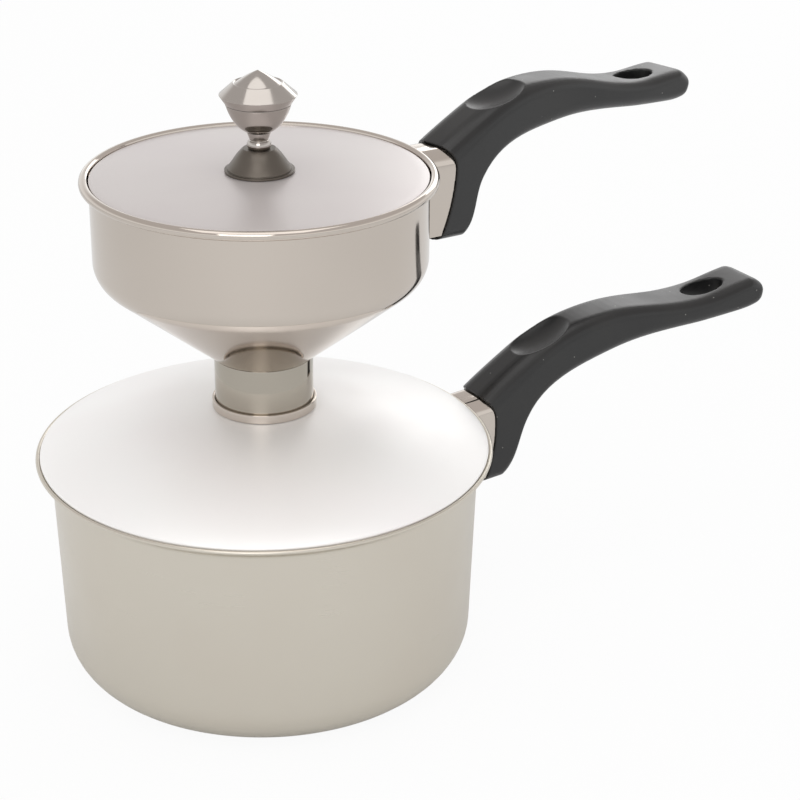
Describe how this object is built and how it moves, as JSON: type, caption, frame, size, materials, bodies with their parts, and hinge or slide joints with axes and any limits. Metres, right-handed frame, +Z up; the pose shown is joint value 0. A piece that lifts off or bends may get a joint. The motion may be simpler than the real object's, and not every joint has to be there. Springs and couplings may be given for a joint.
{
  "type": "couscous steamer",
  "caption": "Saucepan with a domed steam lid, and a funnel-bottomed steamer cup standing in the lid's collar under a knobbed lid; both vessels have long handles.",
  "frame": {"origin": "centre of the pan's flat base, on the surface it stands on", "axes": "+Z up along the pan's axis, +X out along the pan's handle"},
  "size_m": [0.3237, 0.174, 0.2358],
  "materials": {
    "satin_steel": "satin",
    "bright_steel": "polished",
    "lid_steel": "polished",
    "knob_steel": "polished",
    "skirt_steel": "satin",
    "zinc": "zinc plated",
    "phenolic": "moulded, satin"
  },
  "bodies": {
    "pan": {"pan_body": "satin_steel", "pan_bracket": "bright_steel", "pan_bracket_nut": "zinc", "pan_handle": "phenolic", "pan_handle_washer": "zinc", "pan_handle_screw": "zinc"},
    "steam_lid": {"steam_lid": "lid_steel", "steam_collar": "bright_steel"},
    "steamer": {"steamer_cup": "bright_steel", "steamer_neck": "bright_steel", "steamer_bracket": "bright_steel", "steamer_bracket_nut": "zinc", "steamer_handle": "phenolic", "steamer_handle_washer": "zinc", "steamer_handle_screw": "zinc"},
    "plate": {"steamer_grid": "satin_steel", "grid_loop": "bright_steel"},
    "top_lid": {"top_lid": "lid_steel", "knob_base": "skirt_steel", "knob_stem": "knob_steel", "knob_bowl": "knob_steel", "knob_cap": "knob_steel", "knob_washer": "zinc", "knob_screw": "zinc"}
  },
  "joints": [
    {"name": "steam_lid_lift", "type": "slide", "parent": "pan", "child": "steam_lid", "axis": [0, 0, 1], "range_m": [0, 0.06]},
    {"name": "steamer_lift", "type": "slide", "parent": "steam_lid", "child": "steamer", "axis": [0, 0, 1], "range_m": [0, 0.06]},
    {"name": "grid_lift", "type": "slide", "parent": "steamer", "child": "plate", "axis": [0, 0, 1], "range_m": [0, 0.025]},
    {"name": "top_lid_lift", "type": "slide", "parent": "steamer", "child": "top_lid", "axis": [0, 0, 1], "range_m": [0, 0.06]}
  ]
}
